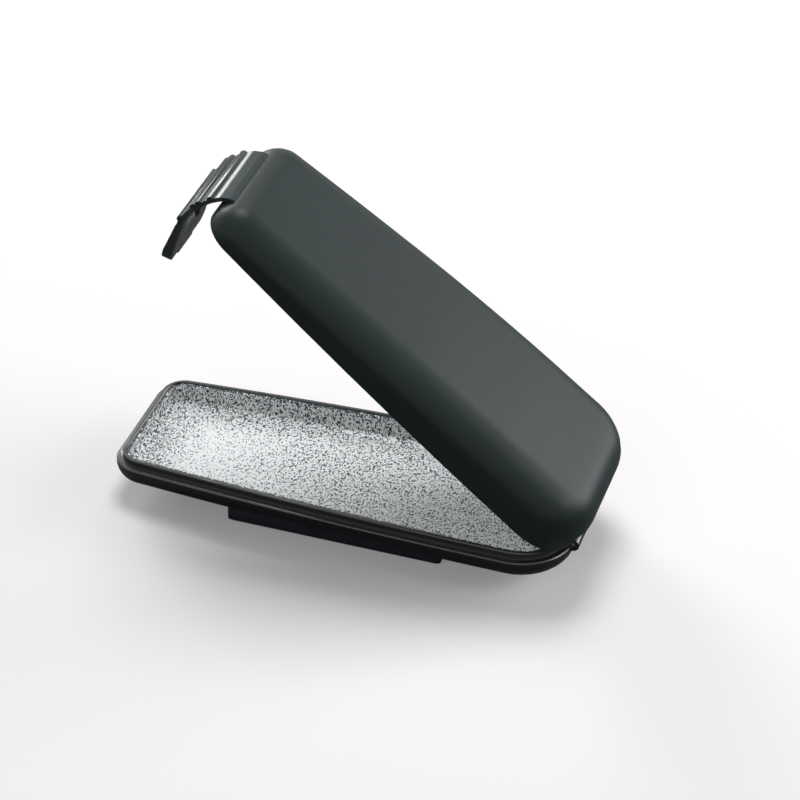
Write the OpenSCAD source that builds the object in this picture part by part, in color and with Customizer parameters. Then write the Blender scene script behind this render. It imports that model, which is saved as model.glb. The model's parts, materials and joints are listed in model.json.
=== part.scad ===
// Magnetic key box: a shallow tray under a hinged cover, a strap latch at the
// narrow end and a magnet in a frame under the tray.
// X runs from the latch end to the hinge end, Z is up, and the origin is the
// middle of the magnet's face, which is what the box stands or hangs on.
// The cover is drawn closed and then swung open about its hinge pin.

/* [Body] */
// Length of the box from end to end
body_len = 115; // [108:1:125]
// Width of the end with the latch
latch_end_w = 40; // [36:0.5:44]
// Width of the end with the hinge
hinge_end_w = 48; // [44:0.5:54]
// Corner radius in plan at the latch end
latch_end_r = 7; // [6:0.5:8]
// Corner radius in plan at the hinge end
hinge_end_r = 13; // [10:0.5:15]
// Swell of each long side past a straight taper
side_bow = 1.5; // [0:0.25:3]

/* [Tray] */
// Height of the tray from its underside to its ledge
tray_h = 5.6; // [5.2:0.1:8]
// Radius of the tray's lower edge
tray_edge_r = 4.8; // [3:0.1:5]
// Thickness of the tray's floor
tray_floor_t = 2; // [1.6:0.1:2.6]
// Width of the ledge that the cover closes on
ledge_w = 1.5; // [1.3:0.1:2]
// Height of the lip above the ledge
lip_h = 1.9; // [1.5:0.1:3]
// Thickness of the lip
lip_w = 1.1; // [0.9:0.1:1.5]

/* [Liner] */
// Thickness of the grained liner pan
liner_t = 0.7; // [0.5:0.1:1]
// Radius where the liner's floor turns up
liner_fillet = 2.4; // [1:0.1:2.6]
// Drop from the lip to the liner's rim
liner_drop = 0.4; // [0.3:0.1:1]

/* [Cover] */
// Height of the cover at the latch end
cover_h_latch = 8.4; // [8:0.1:10]
// Height of the cover where its top bends
cover_h_bend = 13; // [11:0.1:14]
// Height of the cover at the hinge end
cover_h_hinge = 13.8; // [11:0.1:14]
// Place of the bend, from the middle of the box
cover_bend_x = 10.5; // [0:0.5:20]
// Radius of the cover's upper edge at the hinge end
cover_edge_r = 9; // [7:0.1:9]
// Radius of the cover's upper edge at the latch end
cover_latch_r = 7; // [5:0.1:8]
// Wall of the cover
cover_wall = 1.15; // [1:0.05:1.2]
// Gap between the cover's rim and the ledge
rim_gap = 0.2; // [0.1:0.05:0.4]
// Angle at which the cover stands open
open_deg = 38.7; // [0:0.1:60]

/* [Hinge] */
// Outer radius of the hinge barrel
barrel_r = 1.6; // [1.4:0.1:1.8]
// Length of the hinge barrel
barrel_len = 28; // [24:1:34]
// Distance of the pin past the end wall
pin_out = 0.2; // [0.1:0.1:0.6]
// Height of the pin above the ledge
pin_up = 0.8; // [0.6:0.1:1.1]
// Radius of the hinge pin
pin_r = 0.65; // [0.5:0.05:0.8]
// Running clearance of the pin in its bores
pin_clear = 0.05; // [0.02:0.01:0.1]
// Gap between neighbouring knuckles, and round them
knuckle_gap = 0.3; // [0.2:0.05:0.4]

/* [Magnet] */
// Length of the magnet's frame
frame_len = 54; // [50:0.5:60]
// Width of the magnet's frame
frame_w = 38.6; // [34.5:0.2:39]
// Depth of the magnet's frame
frame_h = 4.2; // [3.8:0.1:6]
// Set-back of the frame's rim behind the magnet's face
frame_set_back = 0.4; // [0.2:0.1:0.8]
// Length of the magnet
magnet_len = 43.6; // [38:0.2:44]
// Width of the magnet
magnet_w = 29.4; // [26:0.2:29.6]
// Thickness of the steel yoke
yoke_t = 1; // [0.8:0.1:1.2]
// Gap between the magnet and the yoke's cheeks
magnet_gap = 0.4; // [0.2:0.1:0.6]
// Thickness of the frame's web between the yoke and the tray
web_t = 0.6; // [0.4:0.1:1]
// How far the yoke runs past each end of the magnet
yoke_over = 1; // [0.5:0.1:1.4]

/* [Latch] */
// Width of the strap
strap_w = 23; // [20:0.5:24]
// Thickness of the strap
strap_t = 1.1; // [0.9:0.05:1.2]
// Pitch of the strap's flexible links
link_pitch = 1.65; // [1.6:0.01:1.7]
// Gap between neighbouring links
link_gap = 0.26; // [0.2:0.02:0.3]
// Height of the ribs on the strap
rib_h = 0.6; // [0.3:0.05:0.7]
// Thickness of the pad where it lifts off the cover
pad_t = 1; // [0.8:0.05:1.2]
// Thickness of the pad's thin edge on the cover
pad_edge_t = 0.25; // [0.2:0.05:0.5]
// Length of the latch plate
plate_len = 12.6; // [11.6:0.1:13]
// Depth of the plate's raised rim at its free end
plate_rim_h = 1.3; // [0.8:0.1:1.4]
// Length of the plate's slot
slot_len = 4.2; // [4:0.1:4.6]
// Width of the plate's slot
slot_w = 10; // [9.6:0.1:11]
// Clearance of the catch post in the slot
post_clear = 0.5; // [0.4:0.05:0.7]
// Length of the catch post along the box
post_len = 2.2; // [1.8:0.1:2.4]
// Height of the catch post under the tray
post_h = 2; // [1.6:0.1:2.2]

/* [Hidden] */
$fn = 48;
// Steps round a plan corner, along a long side and round an edge
corner_steps = 9;
side_steps = 12;
edge_steps = 9;
// Smallest plan corner of an inner outline
least_r = 0.6;
// Small bevels on the ledge and the lip
bevel = 0.25;
// Heights above the magnet's face
ledge_z = frame_h + tray_h;
lip_z = ledge_z + lip_h;
rim_z = ledge_z + rim_gap;
// Ends of the box
latch_end_x = -body_len / 2;
hinge_end_x = body_len / 2;
// Axis of the hinge pin
pin_x = hinge_end_x + pin_out;
pin_z = ledge_z + pin_up;
cavity_in = ledge_w + lip_w;
// Blend between the two slopes of the cover's top
top_blend = 1.2;
// The five knuckles of the barrel, tray ones at the ends and in the middle
knuckle_n = 5;
knuckle_pitch = barrel_len / knuckle_n;
// Strap: where its first joint lies past the end wall and above the ledge
root_out = 1.1;
root_up = 3.6;
// Slope of the first link, change per link and slope of the plate
first_slope = 60;
slope_step = 5;
plate_slope = 113;
link_n = 8;
// Links without a rib
smooth_links = [1, 3, 6, 7];
// Place of the plate's slot from its band end, and of the basin's far wall
slot_at = 3.6;
basin_far = 9.4;
plate_corner_r = 3;
tab_w = 9;
tab_len = 1;
// Ribs: slant of their flanks and depth of their foot in the strap
rib_slant = 0.2;
rib_foot = 0.15;
// Magnet's frame: corner, bevel of its rim, room past the yoke's ends, clips
frame_corner_r = 0.8;
frame_bevel = 0.5;
end_gap = 0.5;
clip_l = 2.6;
clip_w = 1.2;
clip_y = 6.5;
magnet_corner_r = 2;
// How far each end of the pin lies inside the barrel
pin_sunk = 0.3;
// Plate's rim: start, foot of the ramp, arms of the basin, notch for the thumb
rim_start = 1.4;
ramp_foot = 0.15;
arm_w = 0.8;
notch_r = 2.8;
notch_out = 0.9;
// Where the plate starts under the tray when latched
latched_start = 3.8;

function lerp(a, b, t) = a + (b - a) * t;
function clamp01(t) = min(max(t, 0), 1);
function corner_of(r, inset) = max(r - inset, least_r);

// Half of the outline in plan, drawn in by inset, from the hinge end round to
// the latch end on the +Y side.
function half_plan(inset) =
    let (r0 = corner_of(latch_end_r, inset), r1 = corner_of(hinge_end_r, inset),
         c0 = [latch_end_x + inset + r0, latch_end_w / 2 - inset - r0],
         c1 = [hinge_end_x - inset - r1, hinge_end_w / 2 - inset - r1],
         d = c1 - c0,
         turn = atan2(d[1], d[0]) + acos((r0 - r1) / norm(d)),
         p1 = c1 + r1 * [cos(turn), sin(turn)],
         p0 = c0 + r0 * [cos(turn), sin(turn)])
    concat(
        [for (i = [0 : corner_steps])
            c1 + r1 * [cos(turn * i / corner_steps), sin(turn * i / corner_steps)]],
        [for (i = [1 : side_steps - 1]) lerp(p1, p0, i / side_steps)],
        [for (i = [0 : corner_steps])
            let (a = lerp(turn, 180, i / corner_steps)) c0 + r0 * [cos(a), sin(a)]]);

// The swell of the long sides at a point
function bowed(p) =
    let (u = clamp01((p[0] - latch_end_x) / body_len),
         w = lerp(latch_end_w, hinge_end_w, u) / 2)
    [p[0], p[1] * (1 + 4 * u * (1 - u) * side_bow / w)];

// The whole outline, the -Y side mirrored in reverse order
function plan(inset) =
    let (h = [for (p = half_plan(inset)) bowed(p)], n = len(h))
    concat(h, [for (i = [1 : n]) [h[n - i][0], -h[n - i][1]]]);

function ring(inset, z) = [for (p = plan(inset)) [p[0], p[1], z]];

// A closed solid through rings of equal length, each symmetric about Y = 0.
// Its end caps are strips that join each point to its mirror image.
module loft(rings) {
    n = len(rings[0]);
    half = n / 2;
    last = (len(rings) - 1) * n;
    sides = [for (k = [0 : len(rings) - 2], i = [0 : n - 1])
        let (a = k * n + i, b = k * n + (i + 1) % n)
        each [[a, a + n, b], [b, a + n, b + n]]];
    first_cap = [for (i = [0 : half - 2])
        let (j = n - 1 - i) each [[i, i + 1, j - 1], [i, j - 1, j]]];
    last_cap = [for (i = [0 : half - 2])
        let (j = n - 1 - i) each [[last + i, last + j - 1, last + i + 1],
                                  [last + i, last + j, last + j - 1]]];
    polyhedron([for (r = rings, p = r) p], concat(sides, first_cap, last_cap));
}

// Height of the cover's top above the ledge at x: two slopes with a soft bend
function cover_top(x) =
    let (bend_len = cover_bend_x - latch_end_x, back_len = hinge_end_x - cover_bend_x,
         a = cover_h_latch + (x - latch_end_x) * (cover_h_bend - cover_h_latch) / bend_len,
         b = cover_h_bend + (x - cover_bend_x) * (cover_h_hinge - cover_h_bend) / back_len,
         h = clamp01(0.5 + 0.5 * (b - a) / top_blend))
    lerp(b, a, h) - top_blend * h * (1 - h);

// One ring of the cover's skin: a turns from 0 at the rim to 90 on top, and
// wall draws the ring in from the outer skin. The edge radius changes evenly
// from one end to the other.
function cover_ring(a, wall) =
    let (latch_plan = plan(wall + (cover_latch_r - wall) * (1 - cos(a))),
         hinge_plan = plan(wall + (cover_edge_r - wall) * (1 - cos(a))))
    [for (i = [0 : len(latch_plan) - 1])
        let (u = clamp01((latch_plan[i][0] - latch_end_x) / body_len),
             p = lerp(latch_plan[i], hinge_plan[i], u),
             top = ledge_z + cover_top(p[0]) - wall,
             r = min(lerp(cover_latch_r, cover_edge_r, u) - wall, top - rim_z - wall))
        [p[0], p[1], a == 0 ? rim_z : top - r + r * sin(a)]];

// Everything on the cover is drawn closed and swung open here
module opened() {
    translate([pin_x, 0, pin_z]) rotate([0, open_deg, 0]) translate([-pin_x, 0, -pin_z])
        children();
}

// A rod along Y about the hinge axis, from y0 to y1
module rod(r, y0, y1) {
    translate([pin_x, y1, pin_z]) rotate([90, 0, 0]) cylinder(r = r, h = y1 - y0);
}

// Knuckles first, first + 2, ... of the barrel, drawn out by grow at each end
module knuckles(first, r, grow) {
    for (i = [first : 2 : knuckle_n - 1])
        rod(r, -barrel_len / 2 + i * knuckle_pitch - grow,
            -barrel_len / 2 + (i + 1) * knuckle_pitch + grow);
}

// Bar under the tray that the plate's slot drops over
module catch_post() {
    x = latch_end_x + latched_start + slot_at + slot_len - post_clear - post_len;
    w = slot_w - 2 * post_clear;
    translate([x, -w / 2, frame_h - post_h]) cube([post_len, w, post_h + bevel]);
}

module tray_shell() {
    r = tray_edge_r;
    color([0.07, 0.09, 0.09]) difference() {
        union() {
            difference() {
                loft(concat(
                    [for (i = [0 : edge_steps]) let (a = 90 * i / edge_steps)
                        ring(r * (1 - sin(a)), frame_h + r * (1 - cos(a)))],
                    [ring(0, ledge_z - bevel), ring(bevel, ledge_z), ring(ledge_w, ledge_z),
                     ring(ledge_w, lip_z - bevel), ring(ledge_w + bevel, lip_z),
                     ring(cavity_in - bevel, lip_z), ring(cavity_in, lip_z - bevel),
                     ring(cavity_in, frame_h + tray_floor_t)]));
                knuckles(1, barrel_r + knuckle_gap, knuckle_gap / 2);
            }
            knuckles(0, barrel_r, -knuckle_gap / 2);
            catch_post();
        }
        rod(pin_r + pin_clear, -barrel_len, barrel_len);
    }
}

module tray_liner() {
    floor_z = frame_h + tray_floor_t;
    rim = lip_z - liner_drop;
    in = cavity_in + liner_t;
    bed = floor_z + liner_t;
    f = liner_fillet;
    color([0.78, 0.79, 0.8]) loft(concat(
        [ring(cavity_in + bevel, floor_z), ring(cavity_in, floor_z + bevel),
         ring(cavity_in, rim), ring(in, rim)],
        [for (i = [0 : 5]) let (a = 90 * i / 5)
            ring(in + f * (1 - cos(a)), bed + f * (1 - sin(a)))]));
}

// Outline of a rectangle with round corners
module round_rect(w, h, r) {
    square([w - 2 * r, h], center = true);
    square([w, h - 2 * r], center = true);
    for (x = [-1, 1], y = [-1, 1]) translate([x * (w / 2 - r), y * (h / 2 - r)]) circle(r);
}

module magnet_frame() {
    pocket_l = magnet_len + 2 * yoke_over + 2 * end_gap;
    pocket_w = magnet_w + 2 * (magnet_gap + yoke_t);
    low = frame_set_back + frame_bevel;
    inner = 2 * frame_bevel;
    color([0.06, 0.06, 0.07]) {
        difference() {
            union() {
                translate([0, 0, low])
                    linear_extrude(frame_h - low) round_rect(frame_len, frame_w, frame_corner_r);
                translate([0, 0, frame_set_back]) linear_extrude(frame_h - frame_set_back)
                    round_rect(frame_len - inner, frame_w - inner, frame_corner_r);
            }
            translate([0, 0, (frame_h - web_t) / 2])
                cube([pocket_l, pocket_w, frame_h - web_t], center = true);
        }
        for (y = [-clip_y, clip_y])
            translate([0, y + clip_w / 2, 0]) rotate([90, 0, 0]) linear_extrude(clip_w)
                polygon([[frame_len / 2, low + frame_bevel], [frame_len / 2 + clip_l, frame_h],
                         [frame_len / 2, frame_h]]);
    }
}

module magnet_yoke() {
    yoke_h = frame_h - web_t;
    w = magnet_w + 2 * magnet_gap;
    l = magnet_len + 2 * yoke_over;
    color([0.88, 0.87, 0.82]) difference() {
        translate([-l / 2, -w / 2 - yoke_t, 0]) cube([l, w + 2 * yoke_t, yoke_h]);
        translate([-l / 2 - 1, -w / 2, -1]) cube([l + 2, w, yoke_h - yoke_t + 1]);
    }
}

module magnet_block() {
    color([0.6, 0.6, 0.62]) linear_extrude(frame_h - web_t - yoke_t)
        round_rect(magnet_len, magnet_w, magnet_corner_r);
}

module hinge_pin() {
    y = barrel_len / 2 - pin_sunk;
    color([0.7, 0.7, 0.72]) rod(pin_r, -y, y);
}

module cover_shell() {
    color([0.2, 0.24, 0.24]) opened() difference() {
        union() {
            difference() {
                loft(concat(
                    [for (i = [edge_steps : -1 : 0]) cover_ring(90 * i / edge_steps, cover_wall)],
                    [for (i = [0 : edge_steps]) cover_ring(90 * i / edge_steps, 0)]));
                knuckles(0, barrel_r + knuckle_gap, knuckle_gap / 2);
            }
            knuckles(1, barrel_r, -knuckle_gap / 2);
        }
        rod(pin_r + pin_clear, -barrel_len, barrel_len);
    }
}

// Slope of link i below the horizontal, in degrees; link_n is the plate
function slope(i) = i == link_n ? plate_slope : first_slope + slope_step * i;
// Place of joint i, past the end wall and above the ledge
function joint_at(i) =
    i == 0 ? [root_out, root_up]
           : joint_at(i - 1) + link_pitch * [cos(slope(i - 1)), -sin(slope(i - 1))];
// World X and Z of a point u along link i and v outwards from its middle
function strap_pt(i, u, v) =
    let (p = joint_at(i), a = slope(i))
    [latch_end_x - (p[0] + u * cos(a) + v * sin(a)), ledge_z + p[1] - u * sin(a) + v * cos(a)];

// A strip across the strap with the given outline in X and Z
module across(pts, w) {
    rotate([90, 0, 0]) linear_extrude(w, center = true) polygon(pts);
}

// Point of the cover's latch end at turn a, out from its skin by off
function cover_end_pt(a, off) =
    let (x = latch_end_x + cover_latch_r * (1 - cos(a)), top = ledge_z + cover_top(x),
         r = min(cover_latch_r, top - rim_z))
    [x - off * cos(a), top - r + (r + off) * sin(a)];

// The pad starts thin on the cover's rounded end and lifts off it as it thickens
module latch_pad() {
    skin = 0.04;
    step = 90 / edge_steps;
    pad_turn = 3 * step;
    color([0.2, 0.24, 0.24]) opened() across([
        cover_end_pt(pad_turn + step, pad_edge_t),
        cover_end_pt(pad_turn + step / 2, (pad_edge_t + pad_t) / 2),
        cover_end_pt(pad_turn, pad_t),
        strap_pt(0, -link_gap / 2, strap_t / 2), strap_pt(0, -link_gap / 2, -strap_t / 2),
        cover_end_pt(pad_turn, skin), cover_end_pt(pad_turn + step, skin)], strap_w);
}

module latch_link(n) {
    i = n - 1;
    h = strap_t / 2;
    g = link_gap / 2;
    p = link_pitch;
    ribbed = len(search(n, smooth_links)) == 0;
    top = ribbed ? h + rib_h : h;
    foot = h - rib_foot;
    color([0.12, 0.14, 0.14]) opened() across(
        [strap_pt(i, g, -h), strap_pt(i, p - g, -h), strap_pt(i, p - g, foot),
         strap_pt(i, p - g - rib_slant, top), strap_pt(i, g + rib_slant, top),
         strap_pt(i, g, foot)], strap_w);
}

// The plate in its own frame: X along it from the strap, +Z towards the box
module plate_flat() {
    h = strap_t / 2;
    w = strap_w;
    g = link_gap / 2;
    difference() {
        union() {
            translate([g, -w / 2, -h]) cube([plate_len - g - plate_corner_r, w, 2 * h]);
            translate([g, -w / 2 + plate_corner_r, -h])
                cube([plate_len - g, w - 2 * plate_corner_r, 2 * h]);
            for (y = [-1, 1])
                translate([plate_len - plate_corner_r, y * (w / 2 - plate_corner_r), -h])
                    cylinder(r = plate_corner_r, h = 2 * h);
            translate([plate_len - 1, -tab_w / 2, -h]) cube([tab_len + 1, tab_w, 2 * h]);
            plate_rim();
        }
        translate([slot_at, -slot_w / 2, -5]) cube([slot_len, slot_w, 10]);
    }
}

// Raised rim round the plate's basin, a ramp from the band to the free end
module plate_rim() {
    h = strap_t / 2;
    w = strap_w;
    r = plate_corner_r;
    start = rim_start;
    basin = slot_w / 2 + arm_w;
    // One side of the basin's edge: it narrows from the strap towards the slot
    side = [[0, w / 2 - arm_w], [start + 1, w / 2 - 2 * arm_w], [slot_at + arm_w, basin + 1.4],
            [slot_at + slot_len - 1.4, basin + 0.2], [basin_far, basin]];
    intersection() {
        translate([0, 0, -h - plate_rim_h]) linear_extrude(plate_rim_h + bevel) difference() {
            union() {
                translate([start, -w / 2]) square([plate_len - start - r, w]);
                translate([start, -w / 2 + r]) square([plate_len - start, w - 2 * r]);
                for (y = [-1, 1]) translate([plate_len - r, y * (w / 2 - r)]) circle(r);
            }
            polygon(concat([for (p = side) [p[0], -p[1]]],
                           [for (i = [len(side) - 1 : -1 : 0]) side[i]]));
            translate([plate_len + notch_out, 0]) circle(notch_r);
        }
        across([[1, 0], [plate_len + 1, 0], [plate_len + 1, -h - plate_rim_h],
                [basin_far, -h - plate_rim_h], [1, -h - ramp_foot]], w + 2);
    }
}

module latch_plate() {
    p = strap_pt(link_n, 0, 0);
    color([0.12, 0.14, 0.14]) opened()
        translate([p[0], 0, p[1]]) rotate([0, 180 - plate_slope, 0]) plate_flat();
}

tray_shell();
tray_liner();
magnet_frame();
magnet_yoke();
magnet_block();
hinge_pin();
cover_shell();
latch_pad();
latch_link(1);  // latch_link_1
latch_link(2);  // latch_link_2
latch_link(3);  // latch_link_3
latch_link(4);  // latch_link_4
latch_link(5);  // latch_link_5
latch_link(6);  // latch_link_6
latch_link(7);  // latch_link_7
latch_link(8);  // latch_link_8
latch_plate();
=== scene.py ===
# %% [markdown]
# A small key box stands open on a pale floor: a shallow tray with a grained liner, a hollow cover
# on a pin hinge, a ribbed strap latch and a magnet in a frame underneath. The solids come from
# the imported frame, at their real size. This file gives them the finish of the real thing, and
# models the pieces whose real form is softer or finer than a plain solid.

# %% Load the frame
import json
import math

import bpy
from mathutils import Matrix, Vector


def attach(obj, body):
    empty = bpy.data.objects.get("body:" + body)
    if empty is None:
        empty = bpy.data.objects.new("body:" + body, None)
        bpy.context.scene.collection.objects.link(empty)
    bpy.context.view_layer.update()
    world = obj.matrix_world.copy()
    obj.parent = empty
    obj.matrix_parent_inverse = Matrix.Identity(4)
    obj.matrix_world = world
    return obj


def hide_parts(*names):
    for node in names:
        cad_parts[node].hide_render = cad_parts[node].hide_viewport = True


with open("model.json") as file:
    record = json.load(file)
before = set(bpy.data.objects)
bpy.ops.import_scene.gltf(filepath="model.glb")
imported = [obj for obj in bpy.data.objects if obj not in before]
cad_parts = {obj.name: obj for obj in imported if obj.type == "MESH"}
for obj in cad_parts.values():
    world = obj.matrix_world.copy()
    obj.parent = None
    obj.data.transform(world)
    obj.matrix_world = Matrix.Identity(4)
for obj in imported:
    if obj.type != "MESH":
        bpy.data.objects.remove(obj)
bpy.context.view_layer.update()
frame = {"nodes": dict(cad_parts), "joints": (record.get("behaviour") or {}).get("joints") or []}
MM = 0.001
JOINTS = {joint["name"]: joint for joint in frame["joints"]}
print("solids:", len(frame["nodes"]), "joints:", len(JOINTS))

# %% [markdown]
# The camera stands where the photographer's did. It was solved from the outline of the box, as an
# orbit about a point on the tray's ledge: a turn, a height, a small roll and a distance. A long
# lens keeps the two long sides nearly parallel, and the small shift puts the box where the
# photograph has it.

# %% Camera
CAMERA_TURN = math.radians(16.585)
CAMERA_HEIGHT = math.radians(34.290)
CAMERA_ROLL = math.radians(1.963)
CAMERA_DISTANCE = 773.0 * MM
CAMERA_TARGET = Vector((0, 0, 9.8 * MM))
CAMERA_OFFSET = (10.556 * MM, 17.781 * MM)
PHOTO_SIZE = 800
FOCAL_PIXELS = 3173.5
PHOTO_CENTRE = (401.9, 394.3)
SENSOR = 36.0

toward = Vector((-math.sin(CAMERA_TURN) * math.cos(CAMERA_HEIGHT),
                 math.cos(CAMERA_TURN) * math.cos(CAMERA_HEIGHT),
                 -math.sin(CAMERA_HEIGHT)))
level = toward.cross(Vector((0, 0, 1))).normalized()
upright = level.cross(toward)
right = level * math.cos(CAMERA_ROLL) + upright * math.sin(CAMERA_ROLL)
up = upright * math.cos(CAMERA_ROLL) - level * math.sin(CAMERA_ROLL)
place = CAMERA_TARGET - toward * CAMERA_DISTANCE + right * CAMERA_OFFSET[0] + up * CAMERA_OFFSET[1]

camera_data = bpy.data.cameras.new("camera")
camera_data.sensor_width = SENSOR
camera_data.lens = FOCAL_PIXELS / PHOTO_SIZE * SENSOR
camera_data.shift_x = (PHOTO_SIZE / 2 - PHOTO_CENTRE[0]) / PHOTO_SIZE
camera_data.shift_y = (PHOTO_CENTRE[1] - PHOTO_SIZE / 2) / PHOTO_SIZE
camera_data.clip_start = 0.01
camera = bpy.data.objects.new("camera", camera_data)
bpy.context.scene.collection.objects.link(camera)
camera.matrix_world = Matrix.Translation(place) @ Matrix((right, up, -toward)).transposed().to_4x4()
bpy.context.scene.camera = camera
print("lens", round(camera_data.lens, 1), "camera at", [round(c, 3) for c in place])

# %% [markdown]
# The stage is a pale floor under a plain world. A camera ray that misses everything sees white,
# and so do rays that mirror or pass through, so metal shows the same white room. Other rays get
# a dimmer grey, from the floor too, which keeps the shaded sides of the dark plastic dark. The
# floor adds a little light of its own to camera rays only, so that it reaches white and still
# keeps the soft shadow.

# %% Helpers for materials
def new_material(name):
    """An empty node material and its output."""
    material = bpy.data.materials.new(name)
    material.use_nodes = True
    material.node_tree.nodes.clear()
    output = material.node_tree.nodes.new("ShaderNodeOutputMaterial")
    return material, output


def add(material, kind, inputs=(), **settings):
    """A node in a material or the world, with its settings, and its inputs set or linked."""
    node = material.node_tree.nodes.new(kind)
    for key, value in settings.items():
        setattr(node, key, value)
    for key, value in dict(inputs).items():
        if isinstance(value, bpy.types.NodeSocket):
            material.node_tree.links.new(value, node.inputs[key])
        else:
            node.inputs[key].default_value = value
    return node


# %% World and floor
SKY_LIGHT = 0.10
FLOOR_COLOUR = (0.84, 0.82, 0.83, 1)
FLOOR_LIFT = 0.16
FLOOR_BOUNCE = 0.15

world = bpy.data.worlds.new("room")
bpy.context.scene.world = world
world.use_nodes = True
world.node_tree.nodes.clear()
path = add(world, "ShaderNodeLightPath")
mirrored = add(world, "ShaderNodeMath",
               {0: path.outputs["Is Glossy Ray"], 1: path.outputs["Is Transmission Ray"]},
               operation="MAXIMUM")
seen = add(world, "ShaderNodeMath", {0: path.outputs["Is Camera Ray"], 1: mirrored.outputs[0]},
           operation="MAXIMUM")
dim_sky = add(world, "ShaderNodeBackground", {"Color": (1, 1, 1, 1), "Strength": SKY_LIGHT})
white_sky = add(world, "ShaderNodeBackground", {"Color": (1, 1, 1, 1), "Strength": 1.0})
sky_mix = add(world, "ShaderNodeMixShader",
              {"Fac": seen.outputs[0], 1: dim_sky.outputs[0], 2: white_sky.outputs[0]})
add(world, "ShaderNodeOutputWorld", {"Surface": sky_mix.outputs[0]})

floor_material, floor_out = new_material("floor")
floor_path = add(floor_material, "ShaderNodeLightPath")
floor_seen = add(floor_material, "ShaderNodeMath",
                 {0: floor_path.outputs["Is Camera Ray"], 1: floor_path.outputs["Is Transmission Ray"]},
                 operation="MAXIMUM")
floor_tone = add(floor_material, "ShaderNodeMix",
                 {"Factor": floor_seen.outputs[0], "A": [FLOOR_BOUNCE] * 3 + [1], "B": FLOOR_COLOUR},
                 data_type="RGBA")
floor_paint = add(floor_material, "ShaderNodeBsdfDiffuse", {"Color": floor_tone.outputs["Result"]})
floor_glow = add(floor_material, "ShaderNodeEmission", {"Color": (1, 1, 1, 1)})
lift = add(floor_material, "ShaderNodeMath", {0: floor_path.outputs["Is Camera Ray"], 1: FLOOR_LIFT},
           operation="MULTIPLY")
floor_material.node_tree.links.new(lift.outputs[0], floor_glow.inputs["Strength"])
floor_sum = add(floor_material, "ShaderNodeAddShader",
                {0: floor_paint.outputs[0], 1: floor_glow.outputs[0]})
floor_material.node_tree.links.new(floor_sum.outputs[0], floor_out.inputs["Surface"])

bpy.ops.object.select_all(action="DESELECT")
bpy.ops.mesh.primitive_plane_add(size=6, location=(0, 0, -0.05 * MM))
floor = bpy.context.object
floor.name = "floor"
floor.data.materials.append(floor_material)

# %% [markdown]
# One large soft lamp hangs above and behind the box, so the near side falls into shade and the
# shadow lies towards the viewer. A low one behind the hinge end gives the cover's top its sheen,
# strongest at that end. One behind the latch end draws bright lines on the strap's ribs, the
# rounded end of the cover and the tray's lip, and a small one beside the hinge end brings out
# the cover's lower corner. A faint fill in front lights the far wall of the liner. Mirror rays
# don't see it, so the dark plastic keeps its black near side.

# %% Lamps
def soft_lamp(name, place, size, power, target=(0, 0, 0.02)):
    """A square area lamp at place, in metres, turned towards target. Its power is in watts."""
    data = bpy.data.lights.new(name, "AREA")
    data.size = size
    data.energy = power
    lamp = bpy.data.objects.new(name, data)
    bpy.context.scene.collection.objects.link(lamp)
    lamp.location = place
    lamp.rotation_euler = (Vector(target) - Vector(place)).to_track_quat("-Z", "Y").to_euler()
    return lamp


soft_lamp("overhead", (-0.12, 0.40, 1.0), 0.5, 6.2)
soft_lamp("hinge_side", (0.84, 0.70, 0.28), 0.7, 6.8)
soft_lamp("latch_side", (-0.76, 0.74, 0.36), 0.4, 6.0)
soft_lamp("corner", (0.92, 0.10, 0.48), 0.35, 2.4)
fill = soft_lamp("front_fill", (-0.2, -0.95, 0.42), 0.7, 1.7)
fill.visible_glossy = False

# %% [markdown]
# Every finish is made of nodes. The patterns read Object coordinates, which are metres, so a
# scale of 1000 gives features of about a millimetre. A number that is the same all over the
# surface is set straight on the shader.

# %% Moulded plastic
PATCH_TONE = 0.14
PATCH_SHINE = 0.02
RUBBED_GAIN = 3.2
RUBBED_LIFT = 0.05


def plastic(name, colour, rough, grain_mm, grain_depth, wear=0.25, coat=0.0, shine_level=0.22):
    """Fine-grained moulded plastic with faint, soft patches and paler, rubbed edges."""
    material, output = new_material(name)
    place = add(material, "ShaderNodeTexCoord").outputs["Object"]
    grain = add(material, "ShaderNodeTexNoise",
                {"Vector": place, "Scale": 1 / (grain_mm * MM), "Detail": 2.0, "Roughness": 0.6})
    patches = add(material, "ShaderNodeTexNoise", {"Vector": place, "Scale": 60.0, "Detail": 3.0})
    edge = add(material, "ShaderNodeNewGeometry")
    rubbed = add(material, "ShaderNodeMapRange",
                 {"Value": edge.outputs["Pointiness"], "From Min": 0.52, "From Max": 0.62,
                  "To Min": 0.0, "To Max": wear})
    tone = add(material, "ShaderNodeMix",
               {"Factor": patches.outputs["Fac"], "A": [c * (1 - PATCH_TONE) for c in colour[:3]] + [1],
                "B": [c * (1 + PATCH_TONE) for c in colour[:3]] + [1]}, data_type="RGBA")
    worn = add(material, "ShaderNodeMix",
               {"Factor": rubbed.outputs["Result"], "A": tone.outputs["Result"],
                "B": [min(c * RUBBED_GAIN + RUBBED_LIFT, 1) for c in colour[:3]] + [1]},
               data_type="RGBA")
    shine = add(material, "ShaderNodeMapRange",
                {"Value": patches.outputs["Fac"], "From Min": 0.3, "From Max": 0.7,
                 "To Min": rough - PATCH_SHINE, "To Max": rough + PATCH_SHINE})
    bump = add(material, "ShaderNodeBump",
               {"Height": grain.outputs["Fac"], "Strength": 0.5, "Distance": grain_depth * MM})
    shader = add(material, "ShaderNodeBsdfPrincipled",
                 {"Base Color": worn.outputs["Result"], "Roughness": shine.outputs["Result"],
                  "Normal": bump.outputs["Normal"], "IOR": 1.46, "Coat Weight": coat,
                  "Coat Roughness": 0.2, "Specular IOR Level": shine_level})
    material.node_tree.links.new(shader.outputs[0], output.inputs["Surface"])
    return material


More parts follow.
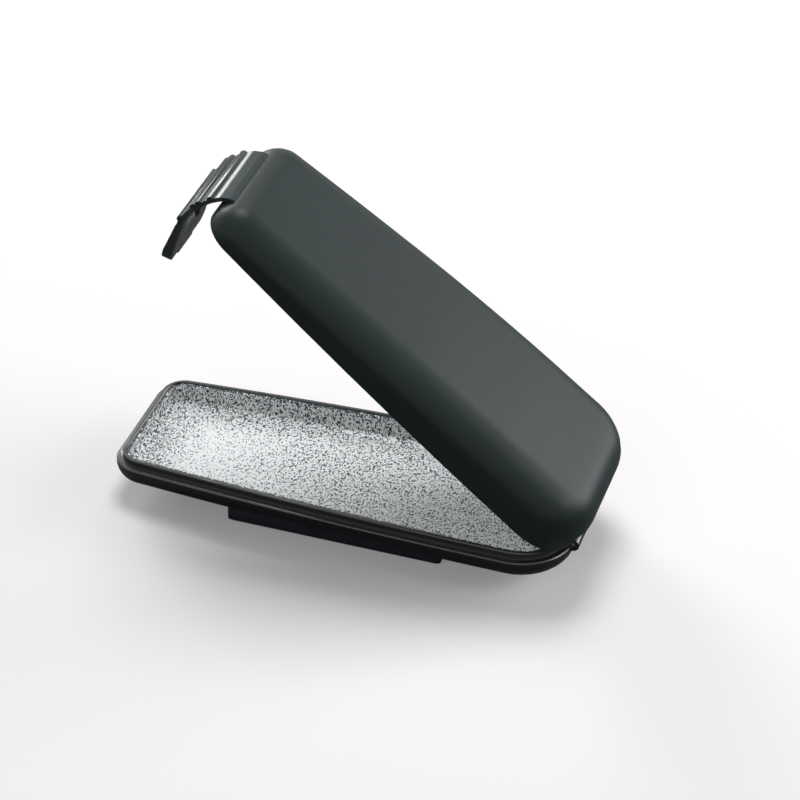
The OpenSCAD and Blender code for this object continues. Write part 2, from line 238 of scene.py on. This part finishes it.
COVER_PLASTIC = plastic("cover_plastic", (0.016, 0.026, 0.026, 1), 0.40, 0.35, 0.05)
TRAY_PLASTIC = plastic("tray_plastic", (0.016, 0.017, 0.021, 1), 0.24, 0.45, 0.02, coat=0.5,
                       shine_level=0.5)
STRAP_PLASTIC = plastic("strap_plastic", (0.036, 0.047, 0.046, 1), 0.24, 0.40, 0.02)
FRAME_PLASTIC = plastic("frame_plastic", (0.026, 0.024, 0.034, 1), 0.40, 0.50, 0.03)

# %% [markdown]
# The liner is a silver skin with a leather-like grain: bright pillows between short dark pits
# that run at all angles. Stretched noise, cut off sharply, gives the pits. They are pressed in
# by the bump and darkened, because their bottoms hardly see the light. On the walls, towards
# both ends and along the far side the pits crowd together, as the photograph shows. The walls'
# silver is painted lighter than the floor's: painted light that makes up for the shade on the
# walls, so that walls and floor look equally bright. Real pits in the mesh would cost very many
# faces for a grain under a millimetre.

# %% Pitted liner
PIT_SCALE = 1900.0
PIT_SLANT = math.radians(-32)
PIT_STRETCH = (1.35, 0.75, 1)
PIT_WANDER = 1.1 * MM
PIT_START = 0.345
PIT_FULL = 0.420
PIT_COLOUR = (0.030, 0.050, 0.052, 1)
FLOOR_SILVER = (0.78, 0.80, 0.81, 1)
# painted light: the walls' silver is lighter than the floor's, to make up for their shade
WALL_SILVER_PAINTED_LIGHT = (0.95, 0.96, 0.97, 1)
LINER_FLOOR = min(corner[2] for corner in frame["nodes"]["tray_liner"].bound_box)
LINER_RIM = max(corner[2] for corner in frame["nodes"]["tray_liner"].bound_box)


def pitted_liner():
    material, output = new_material("pitted_liner")
    place = add(material, "ShaderNodeTexCoord").outputs["Object"]
    wander = add(material, "ShaderNodeTexNoise", {"Vector": place, "Scale": 700.0, "Detail": 1.0})
    shifted = add(material, "ShaderNodeVectorMath",
                  {0: wander.outputs["Color"], 1: [PIT_WANDER] * 3}, operation="MULTIPLY")
    warped = add(material, "ShaderNodeVectorMath", {0: place, 1: shifted.outputs[0]}, operation="ADD")
    slanted = add(material, "ShaderNodeMapping",
                  {"Vector": warped.outputs[0], "Rotation": (0, 0, PIT_SLANT), "Scale": PIT_STRETCH})
    pits = add(material, "ShaderNodeTexNoise",
               {"Vector": slanted.outputs[0], "Scale": PIT_SCALE, "Detail": 1.0, "Roughness": 0.5})
    spot = add(material, "ShaderNodeSeparateXYZ", {"Vector": place})
    # each zone: coordinate, where it starts, where it is full, how much it crowds the pits
    zones = [("Y", 4 * MM, 15 * MM, 0.085), ("X", -40 * MM, -51 * MM, 0.090),
             ("X", -38 * MM, -8 * MM, 0.065),
             ("Z", LINER_FLOOR + 1.0 * MM, LINER_FLOOR + 2.6 * MM, 0.080),
             # the rim zone crowds the pits until the rim is nearly dark: painted shade of the lip's inner
             # wall
             ("Z", LINER_RIM - 0.25 * MM, LINER_RIM - 0.05 * MM, 0.22)]
    crowd = None
    for axis, start, full, amount in zones:
        zone = add(material, "ShaderNodeMapRange",
                   {"Value": spot.outputs[axis], "From Min": start, "From Max": full,
                    "To Min": 0.0, "To Max": amount})
        if crowd:
            zone = add(material, "ShaderNodeMath", {0: crowd, 1: zone.outputs[0]}, operation="MAXIMUM")
        crowd = zone.outputs[0]
    level = add(material, "ShaderNodeMath", {0: pits.outputs["Fac"], 1: crowd}, operation="SUBTRACT")
    depth = add(material, "ShaderNodeMapRange",
                {"Value": level.outputs[0], "From Min": PIT_START, "From Max": PIT_FULL,
                 "To Min": 0.0, "To Max": 1.0}, interpolation_type="SMOOTHSTEP")
    fine = add(material, "ShaderNodeTexNoise", {"Vector": place, "Scale": 3800.0, "Detail": 1.0})
    # painted light: the silver brightens from the floor up the walls
    painted_wall_light = add(material, "ShaderNodeMapRange",
                    {"Value": spot.outputs["Z"], "From Min": LINER_FLOOR + 0.9 * MM,
                     "From Max": LINER_FLOOR + 2.4 * MM, "To Min": 0.0, "To Max": 1.0})
    silver_and_wall_light = add(material, "ShaderNodeMix",
                 {"Factor": painted_wall_light.outputs["Result"], "A": FLOOR_SILVER, "B": WALL_SILVER_PAINTED_LIGHT},
                 data_type="RGBA")
    colour = add(material, "ShaderNodeMix",
                 {"Factor": depth.outputs["Result"], "A": PIT_COLOUR,
                  "B": silver_and_wall_light.outputs["Result"]}, data_type="RGBA")
    height = add(material, "ShaderNodeMath",
                 {0: fine.outputs["Fac"], 1: 0.25, 2: depth.outputs["Result"]}, operation="MULTIPLY_ADD")
    bump = add(material, "ShaderNodeBump",
               {"Height": height.outputs[0], "Strength": 0.8, "Distance": 0.08 * MM})
    shader = add(material, "ShaderNodeBsdfPrincipled",
                 {"Base Color": colour.outputs["Result"], "Roughness": 0.5, "Metallic": 0.2,
                  "Normal": bump.outputs["Normal"]})
    material.node_tree.links.new(shader.outputs[0], output.inputs["Surface"])
    return material


LINER_SKIN = pitted_liner()

# %% [markdown]
# The yoke is plated steel, the hinge pin is plain, duller steel, and the magnet is ground ferrite
# with fine lines along its length. All three use noise that is stretched along X, so the streaks
# run the way the magnet and its yoke were ground. Noise does this without a picture of brushed
# metal, and stays fixed to the part at every pose.

# %% Metals
def ground_metal(name, colour, rough, metallic, streak, depth):
    """Steel or ferrite with streaks along X and soft stains. The depth is in millimetres."""
    material, output = new_material(name)
    place = add(material, "ShaderNodeTexCoord").outputs["Object"]
    along = add(material, "ShaderNodeMapping", {"Vector": place, "Scale": streak})
    lines = add(material, "ShaderNodeTexNoise", {"Vector": along.outputs[0], "Scale": 1.0, "Detail": 3.0})
    stains = add(material, "ShaderNodeTexNoise", {"Vector": place, "Scale": 110.0, "Detail": 4.0})
    mottle = add(material, "ShaderNodeMath", {0: lines.outputs["Fac"], 1: stains.outputs["Fac"]},
                 operation="ADD")
    spread = add(material, "ShaderNodeMapRange",
                 {"Value": mottle.outputs[0], "From Min": 0.7, "From Max": 1.3})
    tone = add(material, "ShaderNodeMix",
               {"Factor": spread.outputs["Result"], "A": [c * 0.72 for c in colour[:3]] + [1],
                "B": [min(c * 1.22, 1) for c in colour[:3]] + [1]}, data_type="RGBA")
    shine = add(material, "ShaderNodeMapRange",
                {"Value": lines.outputs["Fac"], "To Min": rough - 0.08, "To Max": rough + 0.08})
    bump = add(material, "ShaderNodeBump",
               {"Height": lines.outputs["Fac"], "Strength": 0.4, "Distance": depth * MM})
    shader = add(material, "ShaderNodeBsdfPrincipled",
                 {"Base Color": tone.outputs["Result"], "Roughness": shine.outputs["Result"],
                  "Metallic": metallic, "Normal": bump.outputs["Normal"]})
    material.node_tree.links.new(shader.outputs[0], output.inputs["Surface"])
    return material


PLATED_STEEL = ground_metal("plated_steel", (0.78, 0.76, 0.70, 1), 0.26, 1.0, (150, 2600, 2600), 0.02)
PIN_STEEL = ground_metal("pin_steel", (0.22, 0.22, 0.23, 1), 0.40, 0.9, (150, 2600, 2600), 0.02)
GROUND_MAGNET = ground_metal("ground_magnet", (0.33, 0.34, 0.37, 1), 0.45, 0.6, (160, 3000, 3000), 0.03)

# %% [markdown]
# The tray, cover and liner have the right form already, but as loose triangles that shade flat.
# Each gets a welded copy that stands for it: doubles are merged, flat neighbours dissolve into
# one face, sharp edges get a small round, and the skin is shaded smooth up to a sharp angle.

# %% Helpers for meshes
def only(piece):
    """Selects one piece and nothing else."""
    bpy.ops.object.select_all(action="DESELECT")
    piece.select_set(True)
    bpy.context.view_layer.objects.active = piece


def finish_piece(piece, body, slot, material, *nodes):
    """Gives a piece its finish and the body it rides on, and hides the solids it stands for."""
    piece.data.materials.clear()
    piece.data.materials.append(material)
    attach(piece, body)
    if nodes:
        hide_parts(*nodes)
    print(piece.name, len(piece.data.polygons), "faces")


def round_edges(piece, width, angle=30, segments=2):
    """A bevel on every edge sharper than angle, applied."""
    only(piece)
    bevel = piece.modifiers.new("edges", "BEVEL")
    bevel.width = width
    bevel.segments = segments
    bevel.limit_method = "ANGLE"
    bevel.angle_limit = math.radians(angle)
    bevel.use_clamp_overlap = True
    bpy.ops.object.modifier_apply(modifier=bevel.name)


def welded_copy(node, name, edge=0.0, angle=30, segments=2, flat=0.5):
    """A copy of a solid, welded and with rounded edges, that shades smooth."""
    piece = bpy.data.objects.new(name, frame["nodes"][node].data.copy())
    bpy.context.scene.collection.objects.link(piece)
    only(piece)
    bpy.ops.object.mode_set(mode="EDIT")
    bpy.ops.mesh.select_all(action="SELECT")
    bpy.ops.mesh.remove_doubles(threshold=0.002 * MM)
    bpy.ops.mesh.dissolve_limited(angle_limit=math.radians(flat))
    bpy.ops.object.mode_set(mode="OBJECT")
    if edge:
        round_edges(piece, edge, angle, segments)
    only(piece)
    bpy.ops.object.shade_smooth_by_angle(angle=math.radians(angle))
    return piece


# %% Tray, liner and cover
tray = welded_copy("tray_shell", "tray_skin", edge=0.22 * MM, angle=40)
finish_piece(tray, "tray", "dark_plastic", TRAY_PLASTIC, "tray_shell")
liner = welded_copy("tray_liner", "liner_skin", edge=0.15 * MM, angle=40)
finish_piece(liner, "tray", "liner_plastic", LINER_SKIN, "tray_liner")
cover = welded_copy("cover_shell", "cover_skin", edge=0.10 * MM, angle=32)
finish_piece(cover, "cover", "dark_plastic", COVER_PLASTIC, "cover_shell")

# %% [markdown]
# Under the tray a plastic frame holds the magnet in a bent steel yoke, whose two edges lie flush
# with the magnet's face. The pin is a plain rod. Their solids are true already, so welded copies
# with a broken edge are enough. On a real magnet and pressing that edge catches the light.

# %% Magnet, its yoke and frame, and the pin
magnet_frame = welded_copy("magnet_frame", "magnet_frame_moulding", edge=0.15 * MM)
finish_piece(magnet_frame, "tray", "dark_plastic", FRAME_PLASTIC, "magnet_frame")
yoke = welded_copy("magnet_yoke", "yoke_pressing", edge=0.12 * MM)
finish_piece(yoke, "tray", "bright_steel", PLATED_STEEL, "magnet_yoke")
magnet = welded_copy("magnet_block", "magnet_ground", edge=0.18 * MM)
finish_piece(magnet, "tray", "magnet_grey", GROUND_MAGNET, "magnet_block")
pin = welded_copy("hinge_pin", "pin_rod", edge=0.15 * MM)
finish_piece(pin, "tray", "bright_steel", PIN_STEEL, "hinge_pin")

# %% [markdown]
# The strap is one flexible moulding on the real box. Here each stretch between two bends is a
# piece with round ends that share the bend's axis with its neighbour, so the strap looks whole
# at every angle. A cylinder is added at the bend, half of it is moved along to the next bend,
# and the outer face is drawn out into a rib. One plain and one ribbed stretch are modelled and
# copied to their places.

# %% Strap stretches
STRAP_W = 23 * MM
ODD_WIDTH = STRAP_W - 0.08 * MM
STRAP_T = 1.1 * MM
RIB_H = 0.6 * MM
SMOOTH_STRETCHES = (1, 3, 6, 7)
BEND_NAMES = ["latch_bend"] + ["strap_bend_%d" % number for number in range(2, 10)]
BENDS = [Vector(JOINTS[name]["pos_m"]) for name in BEND_NAMES]
PITCH = (BENDS[1] - BENDS[0]).length


def model_stretch(name, ribbed):
    """One stretch of strap along +X from the origin, +Z outwards."""
    bpy.ops.object.select_all(action="DESELECT")
    bpy.ops.mesh.primitive_cylinder_add(vertices=24, radius=STRAP_T / 2, depth=STRAP_W,
                                        rotation=(math.pi / 2, 0, 0))
    piece = bpy.context.object
    piece.name = name
    bpy.ops.object.transform_apply(location=True, rotation=True, scale=True)
    bpy.ops.object.mode_set(mode="EDIT")
    bpy.ops.mesh.select_all(action="SELECT")
    bpy.ops.mesh.bisect(plane_co=(0, 0, 0), plane_no=(1, 0, 0))
    bpy.ops.mesh.select_all(action="DESELECT")
    bpy.ops.object.mode_set(mode="OBJECT")
    for vertex in piece.data.vertices:
        vertex.select = vertex.co.x > 0.001 * MM
    bpy.ops.object.mode_set(mode="EDIT")
    bpy.ops.transform.translate(value=(PITCH, 0, 0))
    bpy.ops.object.mode_set(mode="OBJECT")
    if ribbed:
        draw_rib(piece)
    return piece


def draw_rib(piece):
    """Draws the outer face of a stretch out into a rounded rib."""
    bpy.ops.object.mode_set(mode="EDIT")
    bpy.ops.mesh.select_mode(type="FACE")
    bpy.ops.mesh.select_all(action="DESELECT")
    bpy.ops.object.mode_set(mode="OBJECT")
    for face in piece.data.polygons:
        middle = face.center
        face.select = middle.z > STRAP_T * 0.4 and abs(middle.x - PITCH / 2) < PITCH * 0.45
    bpy.ops.object.mode_set(mode="EDIT")
    bpy.ops.mesh.extrude_region_move(TRANSFORM_OT_translate={"value": (0, 0, RIB_H)})
    bpy.ops.transform.resize(value=(0.62, 1, 1), center_override=(PITCH / 2, 0, 0))
    bpy.ops.object.mode_set(mode="OBJECT")
    round_edges(piece, 0.09 * MM, angle=40, segments=2)


def placed_copy(model, number, start, end):
    """A copy of a stretch from start to end, with its outer side away from the box."""
    along = (end - start).normalized()
    outward = Vector((0, 1, 0)).cross(along)
    turn = Matrix((along, Vector((0, -1, 0)), outward))
    mesh = model.data.copy()
    if number % 2:
        mesh.transform(Matrix.Diagonal((1, ODD_WIDTH / STRAP_W, 1, 1)))
    mesh.transform(Matrix.Translation(start) @ turn.transposed().to_4x4())
    piece = bpy.data.objects.new("strap_stretch_%d" % number, mesh)
    bpy.context.scene.collection.objects.link(piece)
    return piece


plain_model = model_stretch("plain_stretch", False)
ribbed_model = model_stretch("ribbed_stretch", True)
for number in range(1, 9):
    model = plain_model if number in SMOOTH_STRETCHES else ribbed_model
    stretch = placed_copy(model, number, BENDS[number - 1], BENDS[number])
    only(stretch)
    bpy.ops.object.shade_smooth_by_angle(angle=math.radians(35))
    link = "latch_link_%d" % number
    finish_piece(stretch, link, "strap_plastic", STRAP_PLASTIC, link)
for model in (plain_model, ribbed_model):
    bpy.data.objects.remove(model)

# %% [markdown]
# The pad lies on the cover's rounded end and takes the cover's finish. Its thin end is sunk a
# little into the cover, so that it rises without a line, as a moulded pad does. The plate has its
# slot, rim and basin in the solid, so a fine round on its edges is enough. Modelling the two from
# new meshes would only risk a gap at the strap's ends.

# %% Pad and latch plate
PAD_SINK = 0.2 * MM
PAD_ROUND_ANGLE = 55
pad = welded_copy("latch_pad", "pad_moulding", flat=0.2)
thin_end = max(vertex.co.x for vertex in pad.data.vertices) - 0.1 * MM
bpy.ops.object.mode_set(mode="EDIT")
bpy.ops.mesh.select_mode(type="VERT")
bpy.ops.mesh.select_all(action="DESELECT")
bpy.ops.object.mode_set(mode="OBJECT")
for vertex in pad.data.vertices:
    vertex.select = vertex.co.x > thin_end
bpy.ops.object.mode_set(mode="EDIT")
bpy.ops.transform.translate(value=(0, 0, -PAD_SINK))
bpy.ops.object.mode_set(mode="OBJECT")
print("sunk", sum(vertex.select for vertex in pad.data.vertices), "points of the pad's thin end")
round_edges(pad, 0.2 * MM, angle=PAD_ROUND_ANGLE, segments=3)
bpy.ops.object.shade_smooth_by_angle(angle=math.radians(PAD_ROUND_ANGLE))
finish_piece(pad, "cover", "strap_plastic", COVER_PLASTIC, "latch_pad")
plate = welded_copy("latch_plate", "plate_moulding", edge=0.15 * MM, angle=35)
finish_piece(plate, "latch_plate", "strap_plastic", STRAP_PLASTIC, "latch_plate")

# %% [markdown]
# The Standard view keeps the colours as they are written.

# %% Colour view
view = bpy.context.scene.view_settings
view.view_transform = "Standard"
